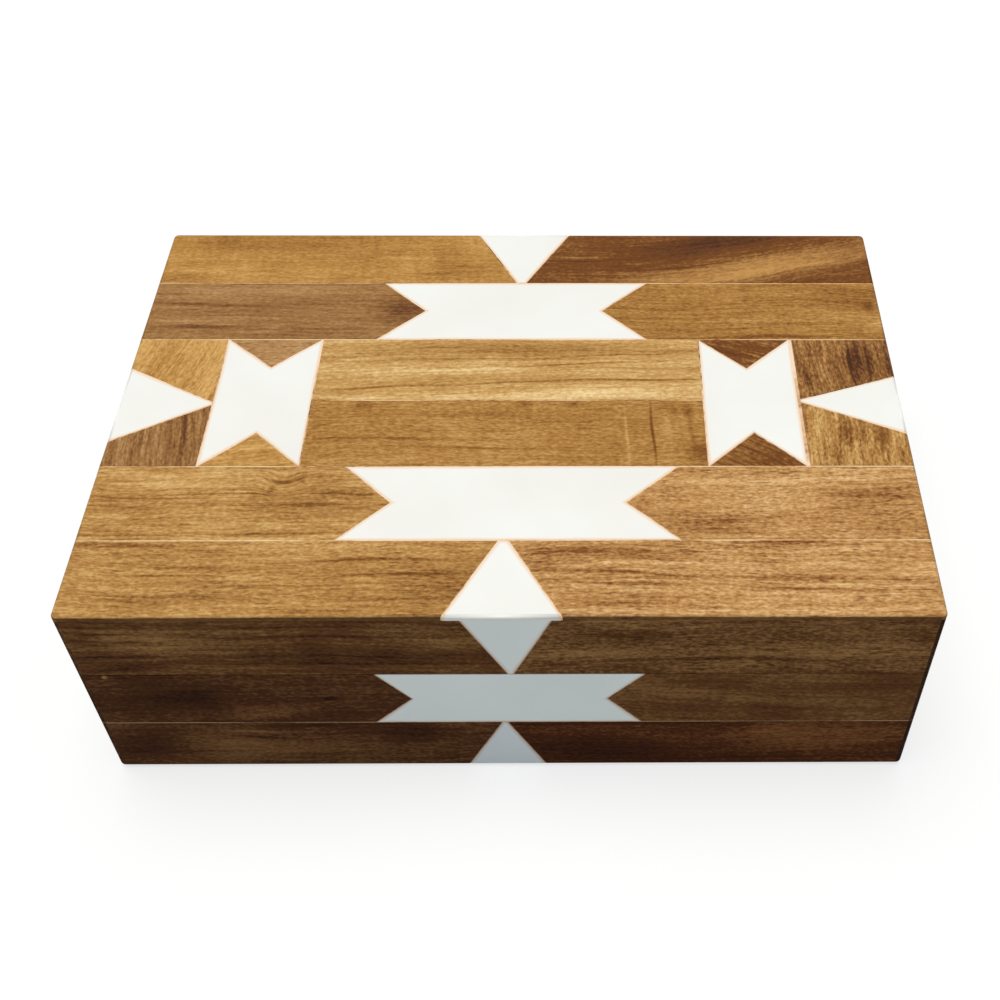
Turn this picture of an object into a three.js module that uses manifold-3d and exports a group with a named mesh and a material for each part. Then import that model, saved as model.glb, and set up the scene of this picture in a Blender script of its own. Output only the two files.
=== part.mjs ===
// Inlaid keepsake box: wood strips and cast resin inlay on a board carcass, with a hinged lid.
// Millimetres. +X points to the right, +Y to the back and +Z up, from the middle of the underside.
import * as THREE from 'three';
import { mergeVertices } from 'three/addons/utils/BufferGeometryUtils.js';
import Module from 'manifold-3d';

const wasm = await Module();
wasm.setup();

// Overall size, and the seam between body and lid
const WIDTH = 254;
const DEPTH = 178;
const HEIGHT = 79.5;
const SEAM_HEIGHT = 51.6;
const SEAM_GAP = 0.3;

// Carcass boards. The base board is let into a rebate under the walls.
const WALL = 10;
const TOP_BOARD = 6;
const BASE_BOARD = 6;
const BASE_REBATE = 5;
const BOARD_CLEARANCE = 0.3;

// Soft layers
const BASE_FELT = 0.8;
const BASE_FELT_MARGIN = 5;
const LINING = 1;
const LINING_CLEARANCE = 0.5;

// Veneer sheets, and the glue line between their pieces
const VENEER = 1.8;
const GLUE_LINE = 0.4;

// Rows of the top sheet, from one glue line to the next, counted out from the middle
const CENTRE_ROW = 30;
const INNER_ROW = 30.4;

// Columns at the ends of the top sheet, from one glue line to the next
const LEFT_END = 30.2;
const LEFT_BANNER_COLUMN = 31.9;
const RIGHT_END = 32.9;
const RIGHT_BANNER_COLUMN = 31.6;

// The right banner is narrower than its column, so the glue line beside it is wide
const RIGHT_BANNER_SETBACK = 0.6;

// Height of the glue line between the two rows of strips on the body
const BODY_ROW_LINE = 26;

// Resin triangles: the base lies on an edge of the sheet and the blunt tip on the next glue line.
// Places are measured along that edge, from the middle of the sheet.
const TRIANGLES = {
  topBack: { middle: 1.6, base: 33.6, tipPlace: 1.5, tip: 2.8 },
  topFront: { middle: 0.2, base: 34.2, tipPlace: -0.3, tip: 2.8 },
  topLeft: { middle: -1.9, base: 34.6, tipPlace: -1.5, tip: 1.2 },
  topRight: { middle: -2, base: 27.2, tipPlace: -0.3, tip: 1.2 },
  lidFront: { middle: 1.3, base: 26.2, tipPlace: 1.7, tip: 1.6 },
  bodyFront: { middle: -1.2, base: 25.3, tipPlace: -1.1, tip: 1.4 },
};

// Resin banners: their two ends on the outer and inner glue line, and the notches halfway between.
// Places are measured along the row, from the middle of the sheet.
const BANNERS = {
  topBack: { outer: [-47.2, 45.6], notches: [-31.2, 29.7], inner: [-47, 45] },
  topFront: { outer: [-50.5, 52.7], notches: [-35, 36.3], inner: [-50.7, 52.9] },
  bodyFront: { outer: [-38.9, 41.7], notches: [-29, 30.7], inner: [-41, 41.3] },
};

// Banner columns of the top sheet: how deep the notches go at the front and at the back
const LEFT_NOTCHES = { front: 14.8, back: 14.1, place: 0.4 };
const RIGHT_NOTCHES = { front: 14.8, back: 14.8, place: -0.1 };

// Hinges: the pins lie inside the back face, where a groove along the seam stops the lid.
// The middle of each hinge is set in from its end of the box.
const OPEN_ANGLE = 95;
const STOP_GAP = 0.3;
const PIN_INSET = 3.2;
const HINGE_FROM_END = 52;
const HINGE_CLEARANCE = 0.3;
const LEAF_LENGTH = 32;
const LEAF_WIDTH = 7.5;
const LEAF_THICKNESS = 1.2;
const BARREL_RADIUS = 2;
const LID_KNUCKLE = 10.6;
const KNUCKLE_GAP = 0.3;
const PIN_RADIUS = 0.8;
const PIN_CLEARANCE = 0.08;
const SCREW_SPACING = 20;
const SCREW_INSET = 2.7;
const SCREW_HEAD_RADIUS = 1.9;
const SCREW_SHANK_RADIUS = 1;
const SCREW_DEPTH = 8;
const SINK_OVERSHOOT = 0.1;
const ROUND_SEGMENTS = 24;

// Derived planes and places
const halfWidth = WIDTH / 2;
const halfDepth = DEPTH / 2;
const carcassX = halfWidth - VENEER;
const carcassY = halfDepth - VENEER;
const innerX = carcassX - WALL;
const innerY = carcassY - WALL;
const bodyTop = SEAM_HEIGHT - SEAM_GAP / 2;
const lidBottom = SEAM_HEIGHT + SEAM_GAP / 2;
const sheetBottom = HEIGHT - VENEER;
const lidRailTop = sheetBottom - TOP_BOARD;
const floorHeight = BASE_FELT + BASE_BOARD;
const pinY = halfDepth - PIN_INSET;
const innerLine = CENTRE_ROW + INNER_ROW;
const leftEndLine = -halfWidth + LEFT_END;
const leftBannerLine = leftEndLine + LEFT_BANNER_COLUMN;
const rightEndLine = halfWidth - RIGHT_END;
const rightBannerLine = rightEndLine - RIGHT_BANNER_COLUMN;

// Materials
const WOOD_TONES = {
  golden: '#b98748',
  honey: '#b07b40',
  pale: '#cf9f62',
  brown: '#94683c',
  dark: '#7d4f26',
  shaded: '#6f4c2c',
  core: '#a98558',
};

function wood(tone) {
  return new THREE.MeshStandardMaterial({ color: WOOD_TONES[tone], roughness: 0.45, metalness: 0 });
}

const resin = new THREE.MeshStandardMaterial({ color: '#f6f5f0', roughness: 0.25, metalness: 0 });
const brass = new THREE.MeshStandardMaterial({ color: '#b08d4a', roughness: 0.35, metalness: 1 });
const felt = new THREE.MeshStandardMaterial({ color: '#1d1b1a', roughness: 1, metalness: 0 });

// A prism along an axis. The outline is in (X, Y) for z, in (X, Z) for y and in (Y, Z) for x.
const PLANES = {
  x: new THREE.Matrix4().set(0, 0, 1, 0, 1, 0, 0, 0, 0, 1, 0, 0, 0, 0, 0, 1),
  y: new THREE.Matrix4().set(1, 0, 0, 0, 0, 0, -1, 0, 0, 1, 0, 0, 0, 0, 0, 1),
  z: new THREE.Matrix4(),
};

function prism(axis, outline, from, to) {
  const shape = new THREE.Shape(outline.map(([u, v]) => new THREE.Vector2(u, v)));
  const geometry = new THREE.ExtrudeGeometry(shape, { depth: to - from, bevelEnabled: false });
  geometry.translate(0, 0, axis === 'y' ? -to : from);
  return geometry.applyMatrix4(PLANES[axis]);
}

function rectangle([u0, u1], [v0, v1]) {
  return [[u0, v0], [u1, v0], [u1, v1], [u0, v1]];
}

function block(xs, ys, zs) {
  return prism('z', rectangle(xs, ys), ...zs);
}

function rodAlongX(radius, from, to) {
  const rod = new THREE.CylinderGeometry(radius, radius, to - from, ROUND_SEGMENTS);
  return rod.rotateZ(-Math.PI / 2).translate((from + to) / 2, 0, 0);
}

// Cutting and joining
function solidOf(geometry) {
  const bare = new THREE.BufferGeometry();
  bare.setAttribute('position', geometry.getAttribute('position'));
  bare.setIndex(geometry.getIndex());
  const merged = mergeVertices(bare);
  return new wasm.Manifold(new wasm.Mesh({
    numProp: 3,
    vertProperties: new Float32Array(merged.getAttribute('position').array),
    triVerts: new Uint32Array(merged.getIndex().array),
  }));
}

function geometryOf(solid) {
  const { vertProperties, triVerts } = solid.getMesh();
  const geometry = new THREE.BufferGeometry();
  geometry.setAttribute('position', new THREE.BufferAttribute(vertProperties, 3));
  geometry.setIndex(new THREE.BufferAttribute(triVerts, 1));
  geometry.computeVertexNormals();
  return geometry;
}

function joined(geometries) {
  return geometries.map(solidOf).reduce((whole, solid) => whole.add(solid));
}

function carved(geometry, cutters) {
  const solid = cutters.reduce((rest, cutter) => rest.subtract(cutter), solidOf(geometry));
  return geometryOf(solid);
}

// Outlines of the sheet pieces. A sheet is first divided exactly, and then each piece steps back
// from its neighbours by half a glue line. Edges on the rim of the sheet stay where they are.
function liesOnRim([u0, v0], [u1, v1], [us, vs]) {
  return us.some((u) => u === u0 && u === u1) || vs.some((v) => v === v0 && v === v1);
}

function meetingPoint(first, second) {
  const along = new THREE.Vector2().subVectors(first.end, first.start);
  const other = new THREE.Vector2().subVectors(second.end, second.start);
  const across = new THREE.Vector2().subVectors(second.start, first.start);
  return first.start.clone().addScaledVector(along, across.cross(other) / along.cross(other));
}

function steppedBack(outline, rim) {
  const turn = Math.sign(THREE.ShapeUtils.area(outline.map(([x, y]) => ({ x, y }))));
  const edges = outline.map((point, i) => {
    const next = outline[(i + 1) % outline.length];
    const start = new THREE.Vector2(...point);
    const end = new THREE.Vector2(...next);
    const step = liesOnRim(point, next, rim) ? 0 : GLUE_LINE / 2;
    const inward = new THREE.Vector2(start.y - end.y, end.x - start.x).setLength(step * turn);
    return { start: start.add(inward), end: end.add(inward) };
  });
  return edges.map((edge, i) => {
    const corner = meetingPoint(edges[(i + edges.length - 1) % edges.length], edge);
    return [corner.x, corner.y];
  });
}

// Cuts across a row, each listed from the row's outer line to its inner line
function triangleCuts({ middle, base, tipPlace, tip }) {
  return [-1, 1].map((side) => [middle + side * base / 2, tipPlace + side * tip / 2]);
}

function bannerCuts({ outer, notches, inner }) {
  return [0, 1].map((end) => [outer[end], notches[end], inner[end]]);
}

function rowPieces(names, [uStart, uEnd], [vOuter, vInner], cuts) {
  const lines = [[uStart, uStart], ...cuts, [uEnd, uEnd]].map((cut) => cut.map((u, i) => (
    [u, vOuter + (vInner - vOuter) * i / (cut.length - 1)]
  )));
  return names.map((name, i) => ({ name, outline: [...lines[i], ...lines[i + 1].toReversed()] }));
}

function columnPieces(names, along, across, cuts) {
  return rowPieces(names, along, across, cuts).map(({ name, outline }) => (
    { name, outline: outline.map(([v, u]) => [u, v]) }
  ));
}

// A banner that stands across the middle rows, with the notches at its front and back ends
function standingBanner(names, [left, right], { front, back, place }) {
  const notchX = (left + right) / 2 + place;
  const frontNotch = [notchX, front - CENTRE_ROW];
  const backNotch = [notchX, CENTRE_ROW - back];
  const corners = rectangle([left, right], [-CENTRE_ROW, CENTRE_ROW]);
  return [
    { name: names[0], outline: [corners[0], corners[1], frontNotch] },
    { name: names[1], outline: [corners[0], frontNotch, corners[1], corners[2], backNotch, corners[3]] },
    { name: names[2], outline: [corners[2], corners[3], backNotch] },
  ];
}

// Pieces of the top sheet
const topRim = [[-halfWidth, halfWidth], [-halfDepth, halfDepth]];
const middleRows = [-CENTRE_ROW, CENTRE_ROW];
const topPieces = [
  ...rowPieces(['top_back_left_strip', 'top_back_triangle', 'top_back_right_strip'],
    topRim[0], [halfDepth, innerLine], triangleCuts(TRIANGLES.topBack)),
  ...rowPieces(['top_inner_back_left_strip', 'top_back_banner', 'top_inner_back_right_strip'],
    topRim[0], [innerLine, CENTRE_ROW], bannerCuts(BANNERS.topBack)),
  ...rowPieces(['top_inner_front_left_strip', 'top_front_banner', 'top_inner_front_right_strip'],
    topRim[0], [-innerLine, -CENTRE_ROW], bannerCuts(BANNERS.topFront)),
  ...rowPieces(['top_front_left_strip', 'top_front_triangle', 'top_front_right_strip'],
    topRim[0], [-halfDepth, -innerLine], triangleCuts(TRIANGLES.topFront)),
  ...columnPieces(['top_left_front_block', 'top_left_triangle', 'top_left_back_block'],
    middleRows, [-halfWidth, leftEndLine], triangleCuts(TRIANGLES.topLeft)),
  ...columnPieces(['top_right_front_block', 'top_right_triangle', 'top_right_back_block'],
    middleRows, [halfWidth, rightEndLine], triangleCuts(TRIANGLES.topRight)),
  ...standingBanner(['top_left_front_filler', 'top_left_banner', 'top_left_back_filler'],
    [leftEndLine, leftBannerLine], LEFT_NOTCHES),
  ...standingBanner(['top_right_front_filler', 'top_right_banner', 'top_right_back_filler'],
    [rightBannerLine, rightEndLine - RIGHT_BANNER_SETBACK], RIGHT_NOTCHES),
  ...columnPieces(['top_centre_front_strip', 'top_centre_back_strip'],
    middleRows, [leftBannerLine, rightBannerLine], [[0, 0]]),
];

// Pieces of the front sheet, one row on the lid and two on the body
const lidFrontRim = [[-carcassX, carcassX], [lidBottom, sheetBottom]];
const lidFrontPieces = rowPieces(
  ['lid_front_left_strip', 'lid_front_triangle', 'lid_front_right_strip'],
  lidFrontRim[0], lidFrontRim[1].toReversed(), triangleCuts(TRIANGLES.lidFront),
);

const bodyFrontRim = [[-carcassX, carcassX], [BASE_FELT, bodyTop]];
const bodyFrontPieces = [
  ...rowPieces(['body_front_upper_left_strip', 'body_front_banner', 'body_front_upper_right_strip'],
    bodyFrontRim[0], [bodyTop, BODY_ROW_LINE], bannerCuts(BANNERS.bodyFront)),
  ...rowPieces(['body_front_lower_left_strip', 'body_front_triangle', 'body_front_lower_right_strip'],
    bodyFrontRim[0], [BASE_FELT, BODY_ROW_LINE], triangleCuts(TRIANGLES.bodyFront)),
];

// Wood tones that stand out in the sheets; the other strips are honey-coloured
const TONE_OF = {
  top_back_left_strip: 'golden',
  top_back_right_strip: 'dark',
  top_inner_back_left_strip: 'brown',
  top_centre_back_strip: 'pale',
  top_left_back_block: 'golden',
  top_left_front_block: 'brown',
  top_left_back_filler: 'brown',
  top_left_front_filler: 'golden',
  top_right_back_block: 'brown',
  top_right_front_block: 'golden',
  top_right_front_filler: 'dark',
  top_right_back_filler: 'dark',
};

function sheetMaterial(name) {
  if (/triangle|banner/.test(name)) return resin;
  return wood(TONE_OF[name] ?? (name.startsWith('top') ? 'honey' : 'shaded'));
}

function addMesh(group, name, geometry, material) {
  const mesh = new THREE.Mesh(geometry, material);
  mesh.name = name;
  group.add(mesh);
}

function addSheet(group, axis, pieces, rim, from, to) {
  for (const { name, outline } of pieces) {
    addMesh(group, name, prism(axis, steppedBack(outline, rim), from, to), sheetMaterial(name));
  }
}

// The groove along the back of the seam. Its flanks meet when the lid is open.
function stopGroove() {
  const flank = THREE.MathUtils.degToRad(OPEN_ANGLE / 2);
  const root = pinY - STOP_GAP / 2 / Math.sin(flank);
  const mouth = halfDepth + VENEER;
  const rise = (mouth - root) * Math.tan(flank);
  const section = [[root, SEAM_HEIGHT], [mouth, SEAM_HEIGHT - rise], [mouth, SEAM_HEIGHT + rise]];
  return solidOf(prism('x', section, -halfWidth - VENEER, halfWidth + VENEER));
}

// Hinges, made round their pin at the origin
const hingeX = halfWidth - HINGE_FROM_END;
const hingePlaces = [-hingeX, hingeX].map((x) => new THREE.Vector3(x, pinY, SEAM_HEIGHT));
const screwPlaces = [-1, 1].map((side) => [side * SCREW_SPACING / 2, SCREW_INSET - LEAF_WIDTH]);
const leafFace = SEAM_GAP / 2;
const leafBack = leafFace + LEAF_THICKNESS;

function hingePocket() {
  const reach = LEAF_LENGTH / 2 + HINGE_CLEARANCE;
  const seats = block([-reach, reach], [-LEAF_WIDTH - HINGE_CLEARANCE, 0], [-leafBack, leafBack]);
  const barrel = rodAlongX(BARREL_RADIUS + HINGE_CLEARANCE, -reach, reach);
  const length = 2 * (leafBack + SCREW_DEPTH);
  const pilots = screwPlaces.map(([x, y]) => (
    new THREE.CylinderGeometry(SCREW_SHANK_RADIUS, SCREW_SHANK_RADIUS, length, ROUND_SEGMENTS / 2)
      .rotateX(Math.PI / 2).translate(x, y, 0)
  ));
  return joined([seats, barrel, ...pilots]);
}

// A leaf lies under or over the seam (side -1 or 1), and holds the knuckles in the spans given
function leaf(side, ownSpans, otherSpans) {
  const plateZ = side < 0 ? [-leafBack, -leafFace] : [leafFace, leafBack];
  const plate = block([-LEAF_LENGTH / 2, LEAF_LENGTH / 2], [-LEAF_WIDTH, 0], plateZ);
  const knuckles = ownSpans.map(([from, to]) => rodAlongX(BARREL_RADIUS, from, to));
  const reliefs = otherSpans.map(([from, to]) => {
    const reach = BARREL_RADIUS + HINGE_CLEARANCE;
    return block([from - KNUCKLE_GAP, to + KNUCKLE_GAP], [-reach, reach], [-reach, reach]);
  });
  const widening = (SCREW_HEAD_RADIUS - SCREW_SHANK_RADIUS) / LEAF_THICKNESS * SINK_OVERSHOOT;
  const sinkRadii = [SCREW_HEAD_RADIUS + widening, SCREW_SHANK_RADIUS - widening];
  const sinkLength = LEAF_THICKNESS + 2 * SINK_OVERSHOOT;
  const sinks = screwPlaces.map(([x, y]) => (
    new THREE.CylinderGeometry(...sinkRadii, sinkLength, ROUND_SEGMENTS)
      .rotateX(-side * Math.PI / 2).translate(x, y, side * (leafFace + leafBack) / 2)
  ));
  const bore = rodAlongX(PIN_RADIUS + PIN_CLEARANCE, -LEAF_LENGTH, LEAF_LENGTH);
  const whole = joined([plate, ...knuckles]);
  return geometryOf([...reliefs, ...sinks, bore].reduce((rest, cut) => rest.subtract(solidOf(cut)), whole));
}

const lidSpan = [-LID_KNUCKLE / 2, LID_KNUCKLE / 2];
const bodySpans = [
  [-LEAF_LENGTH / 2, lidSpan[0] - KNUCKLE_GAP],
  [lidSpan[1] + KNUCKLE_GAP, LEAF_LENGTH / 2],
];

const groove = stopGroove();
const pocket = hingePocket();
const pockets = hingePlaces.map((place) => pocket.translate(place.x, place.y, place.z));
const backCuts = [groove, ...pockets];

// Body: felt, base board, four walls and their sheets
const body = new THREE.Group();
const feltX = halfWidth - BASE_FELT_MARGIN;
const feltY = halfDepth - BASE_FELT_MARGIN;
const baseX = innerX + BASE_REBATE;
const baseY = innerY + BASE_REBATE;
const bodyWallZ = [BASE_FELT, bodyTop];
const rebate = solidOf(block(
  [-baseX - BOARD_CLEARANCE, baseX + BOARD_CLEARANCE],
  [-baseY - BOARD_CLEARANCE, baseY + BOARD_CLEARANCE],
  [0, floorHeight],
));
const wallCore = wood('core');

addMesh(body, 'base_felt', block([-feltX, feltX], [-feltY, feltY], [0, BASE_FELT]), felt);
addMesh(body, 'base_board', block([-baseX, baseX], [-baseY, baseY], [BASE_FELT, floorHeight]), wallCore);
addMesh(body, 'body_front_wall',
  carved(block([-carcassX, carcassX], [-carcassY, -innerY], bodyWallZ), [rebate]), wallCore);
addMesh(body, 'body_back_wall',
  carved(block([-carcassX, carcassX], [innerY, carcassY], bodyWallZ), [rebate, ...backCuts]), wallCore);
addMesh(body, 'body_left_wall',
  carved(block([-carcassX, -innerX], [-innerY, innerY], bodyWallZ), [rebate]), wallCore);
addMesh(body, 'body_right_wall',
  carved(block([innerX, carcassX], [-innerY, innerY], bodyWallZ), [rebate]), wallCore);

const liningX = innerX - LINING_CLEARANCE;
const liningY = innerY - LINING_CLEARANCE;
addMesh(body, 'floor_lining',
  block([-liningX, liningX], [-liningY, liningY], [floorHeight, floorHeight + LINING]), felt);

addSheet(body, 'y', bodyFrontPieces, bodyFrontRim, -halfDepth, -carcassY);
addMesh(body, 'body_back_sheet',
  carved(block([-carcassX, carcassX], [carcassY, halfDepth], bodyWallZ), backCuts), wood('shaded'));
addMesh(body, 'body_left_sheet',
  carved(block([-halfWidth, -carcassX], [-halfDepth, halfDepth], bodyWallZ), [groove]), wood('shaded'));
addMesh(body, 'body_right_sheet',
  carved(block([carcassX, halfWidth], [-halfDepth, halfDepth], bodyWallZ), [groove]), wood('shaded'));

// Lid: top board on four rails, and its sheets
const lid = new THREE.Group();
const railZ = [lidBottom, lidRailTop];
const lidSheetZ = [lidBottom, sheetBottom];

addMesh(lid, 'lid_top_board',
  block([-carcassX, carcassX], [-carcassY, carcassY], [lidRailTop, sheetBottom]), wallCore);
addMesh(lid, 'lid_front_rail', block([-carcassX, carcassX], [-carcassY, -innerY], railZ), wallCore);
addMesh(lid, 'lid_back_rail',
  carved(block([-carcassX, carcassX], [innerY, carcassY], railZ), backCuts), wallCore);
addMesh(lid, 'lid_left_rail', block([-carcassX, -innerX], [-innerY, innerY], railZ), wallCore);
addMesh(lid, 'lid_right_rail', block([innerX, carcassX], [-innerY, innerY], railZ), wallCore);
addMesh(lid, 'lid_lining',
  block([-liningX, liningX], [-liningY, liningY], [lidRailTop - LINING, lidRailTop]), felt);

addSheet(lid, 'z', topPieces, topRim, sheetBottom, HEIGHT);
addSheet(lid, 'y', lidFrontPieces, lidFrontRim, -halfDepth, -carcassY);
addMesh(lid, 'lid_back_sheet',
  carved(block([-carcassX, carcassX], [carcassY, halfDepth], lidSheetZ), backCuts), wood('shaded'));
addMesh(lid, 'lid_left_sheet',
  carved(block([-halfWidth, -carcassX], [-halfDepth, halfDepth], lidSheetZ), [groove]), wood('shaded'));
addMesh(lid, 'lid_right_sheet',
  carved(block([carcassX, halfWidth], [-halfDepth, halfDepth], lidSheetZ), [groove]), wood('shaded'));

// Hinges, left and right
const hinges = new THREE.Group();
hingePlaces.forEach((place, i) => {
  const side = ['left', 'right'][i];
  const hinge = new THREE.Group();
  hinge.position.copy(place);
  addMesh(hinge, `${side}_hinge_body_leaf`, leaf(-1, bodySpans, [lidSpan]), brass);
  addMesh(hinge, `${side}_hinge_lid_leaf`, leaf(1, [lidSpan], bodySpans), brass);
  addMesh(hinge, `${side}_hinge_pin`, rodAlongX(PIN_RADIUS, -LEAF_LENGTH / 2, LEAF_LENGTH / 2), brass);
  hinges.add(hinge);
});

const box = new THREE.Group();
box.add(body, lid, hinges);

export default box;
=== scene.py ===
"""Inlaid keepsake box: the finish of every surface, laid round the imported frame.

Lengths are written in millimetres and turned into metres by MM. +X is right, +Y back and +Z up.
"""

import math
import random
from functools import reduce

import bmesh
import bpy
from mathutils import Matrix, Vector, noise


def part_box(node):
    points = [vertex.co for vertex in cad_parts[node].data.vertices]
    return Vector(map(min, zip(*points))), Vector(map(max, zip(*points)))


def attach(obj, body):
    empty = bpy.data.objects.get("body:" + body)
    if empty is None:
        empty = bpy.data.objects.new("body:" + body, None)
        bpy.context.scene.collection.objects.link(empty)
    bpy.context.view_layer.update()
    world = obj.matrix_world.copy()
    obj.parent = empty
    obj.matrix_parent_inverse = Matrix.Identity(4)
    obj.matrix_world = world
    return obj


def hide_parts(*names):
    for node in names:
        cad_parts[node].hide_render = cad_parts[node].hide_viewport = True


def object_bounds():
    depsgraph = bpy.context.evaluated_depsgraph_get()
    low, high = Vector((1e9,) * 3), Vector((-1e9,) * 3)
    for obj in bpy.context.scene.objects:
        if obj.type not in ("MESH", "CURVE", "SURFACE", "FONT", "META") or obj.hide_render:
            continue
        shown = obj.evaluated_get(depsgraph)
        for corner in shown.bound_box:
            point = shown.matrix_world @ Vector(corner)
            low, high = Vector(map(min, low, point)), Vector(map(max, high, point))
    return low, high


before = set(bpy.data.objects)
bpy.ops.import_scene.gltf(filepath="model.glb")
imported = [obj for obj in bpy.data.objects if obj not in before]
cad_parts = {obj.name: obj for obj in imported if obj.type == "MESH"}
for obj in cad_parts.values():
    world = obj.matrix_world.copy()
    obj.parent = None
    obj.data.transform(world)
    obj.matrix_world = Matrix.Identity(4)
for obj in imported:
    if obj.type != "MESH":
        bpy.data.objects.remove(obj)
cad_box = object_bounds()

MM = 0.001
random.seed(7)

# Camera of the photograph
CAMERA_PLACE = (23.68, -322.44, 381.66)
CAMERA_ELEVATION = 48.72
CAMERA_YAW = 1.006
CAMERA_ROLL = 0.672
CAMERA_LENS = 48.575
CAMERA_SHIFT = (-0.10, 0.032)

# Rounded edges of the box, and the radius of an edge that stays sharp
CORNER_RADIUS = 1.7
TOP_RADIUS = 1.0
FOOT_RADIUS = 1.3
SHARP = 0.001
ARC_SEGMENTS = 5

# Glue between the pieces: its width, how far it lies under the surface, the reach of the lines that
# belong to an inlay, and how far it shows through the edge of the resin
GLUE_LINE = 0.4
GLUE_DEPTH = 0.06
GLUE_REACH = 1.1
GLUE_BLEED = 1.1

# How far a cutter runs past what it cuts, and how close two places are that count as one
OVERSHOOT = 2.0
NEAR = 0.01
WELD = 0.001

# Faces are joined up to this angle, and a normal this close to an axis is that of a flat face
FLAT_DEGREES = 1.0
FLAT_NORMAL = 0.9995

# Places of the main planes, read from the frame
WIDE, DEEP, HIGH = (corner / MM for corner in cad_box[1])
BOARD_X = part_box("lid_top_board")[1].x / MM
BOARD_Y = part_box("lid_top_board")[1].y / MM
SHEET_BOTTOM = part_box("top_back_triangle")[0].z / MM
LID_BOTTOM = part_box("lid_front_triangle")[0].z / MM
BODY_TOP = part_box("body_front_banner")[1].z / MM
BODY_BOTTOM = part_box("body_front_triangle")[0].z / MM
ROW_LINE = (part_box("body_front_banner")[0].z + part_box("body_front_triangle")[1].z) / 2 / MM


# Node trees

def colour(code):
    """Linear colour, with full alpha, of a code such as #b98748."""
    parts = [int(code[i:i + 2], 16) / 255 for i in (1, 3, 5)]
    return [p / 12.92 if p <= 0.04045 else ((p + 0.055) / 1.055) ** 2.4 for p in parts] + [1]


def triple(fill, by_axis):
    """Three numbers: those that by_axis gives, and fill for the other axes."""
    return [by_axis.get(axis, fill) for axis in range(3)]


class Graph:
    """A material and short calls for the nodes that its tree is made of."""

    def __init__(self, name):
        self.material = bpy.data.materials.new(name)
        self.material.use_nodes = True
        self.tree = self.material.node_tree
        self.shader = self.tree.nodes["Principled BSDF"]

    def put(self, kind, inputs, output=0, **settings):
        node = self.tree.nodes.new(kind)
        for key, value in settings.items():
            setattr(node, key, value)
        for key, value in inputs.items():
            self.feed(node.inputs[key], value)
        return node.outputs[output]

    def feed(self, socket, value):
        if isinstance(value, bpy.types.NodeSocket):
            self.tree.links.new(value, socket)
        else:
            socket.default_value = value

    def point(self):
        """Place on the object, in millimetres."""
        place = self.put("ShaderNodeTexCoord", {}, "Object")
        return self.vector("SCALE", place, Scale=1 / MM)

    def vector(self, operation, first, second=None, output=0, **inputs):
        feeds = {0: first, **inputs}
        if second is not None:
            feeds[1] = second
        return self.put("ShaderNodeVectorMath", feeds, output, operation=operation)

    def part(self, vector, axis):
        return self.put("ShaderNodeSeparateXYZ", {0: vector}, axis)

    def math(self, operation, first, second=0.0):
        return self.put("ShaderNodeMath", {0: first, 1: second}, operation=operation)

    def scaled(self, value, factor, offset):
        """The value times a factor, plus an offset."""
        inputs = {0: value, 1: factor, 2: offset}
        return self.put("ShaderNodeMath", inputs, operation="MULTIPLY_ADD")

    def noise(self, place, scale, detail=2.0, rough=0.5, output="Fac"):
        """Noise with a scale for each axis, in cycles a millimetre."""
        stretched = self.vector("MULTIPLY", place, scale)
        inputs = {"Vector": stretched, "Scale": 1.0, "Detail": detail, "Roughness": rough}
        return self.put("ShaderNodeTexNoise", inputs, output)

    def swing(self, factor, amount):
        """A factor round one half, turned into a value round zero."""
        return self.scaled(factor, amount, -amount / 2)

    def smooth(self, value, start, end, low=0.0, high=1.0):
        inputs = {"Value": value, "From Min": start, "From Max": end, "To Min": low, "To Max": high}
        return self.put("ShaderNodeMapRange", inputs, interpolation_type="SMOOTHSTEP")

    def mix(self, factor, first, second, blend="MIX"):
        inputs = {"Factor": factor, 6: first, 7: second}
        return self.put("ShaderNodeMix", inputs, 2, data_type="RGBA", blend_type=blend)

    def ramp(self, factor, stops):
        node = self.tree.nodes.new("ShaderNodeValToRGB")
        self.feed(node.inputs[0], factor)
        elements = node.color_ramp.elements
        while len(elements) < len(stops):
            elements.new(0.5)
        for element, (position, shade) in zip(elements, stops):
            element.position = position
            element.color = colour(shade) if isinstance(shade, str) else shade
        return node.outputs[0]

    def bump(self, height, strength, distance):
        inputs = {"Strength": strength, "Distance": distance * MM, "Height": height}
        return self.put("ShaderNodeBump", inputs)

    def finish(self, **inputs):
        """Feeds the surface shader; an underscore stands for a space in a socket's name."""
        for key, value in inputs.items():
            self.feed(self.shader.inputs[key.replace("_", " ")], value)
        return self.material


# Materials

TONES = {
    "golden": ("#8c5a20", "#b88541", "#dcab66"),
    "honey": ("#804d17", "#af7d3c", "#d6a567"),
    "amber": ("#7f4e1a", "#bc8a4b", "#e8bf7e"),
    "tan": ("#7f4716", "#c28f54", "#f2c78f"),
    "pale": ("#8f5d1e", "#cc9d5c", "#ffe0a6"),
    "brown": ("#6b3f1b", "#9c6e3c", "#c49766"),
    "chestnut": ("#52290b", "#90602d", "#c79458"),
    "dark": ("#451f04", "#744211", "#bf8b4c"),
    "shaded": ("#331405", "#6c4524", "#a97d4c"),
    "umber": ("#230b02", "#4f2c14", "#885f39"),
    "russet": ("#230802", "#4e260d", "#8a5832"),
    "core": ("#a1703f", "#cb9a62", "#e8c598"),
}
FACE_AXES = {"x": 0, "y": 1, "z": 2}
PLANES = {"x": (1, 2), "y": (0, 2), "z": (0, 1)}

# What the wood's colour is multiplied by in its pores; at the end grain, which is partly its own darker
# tone and partly painted shade; and as painted shade at its rim and at the upright corners
PORE_SHADE = (0.42, 0.33, 0.26, 1)
END_GRAIN_AND_PAINTED_SHADE = (0.28, 0.23, 0.20, 1)
RIM_PAINTED_SHADE = (0.29, 0.22, 0.15, 1)
CORNER_PAINTED_SHADE = (0.2, 0.18, 0.17, 1)

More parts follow.
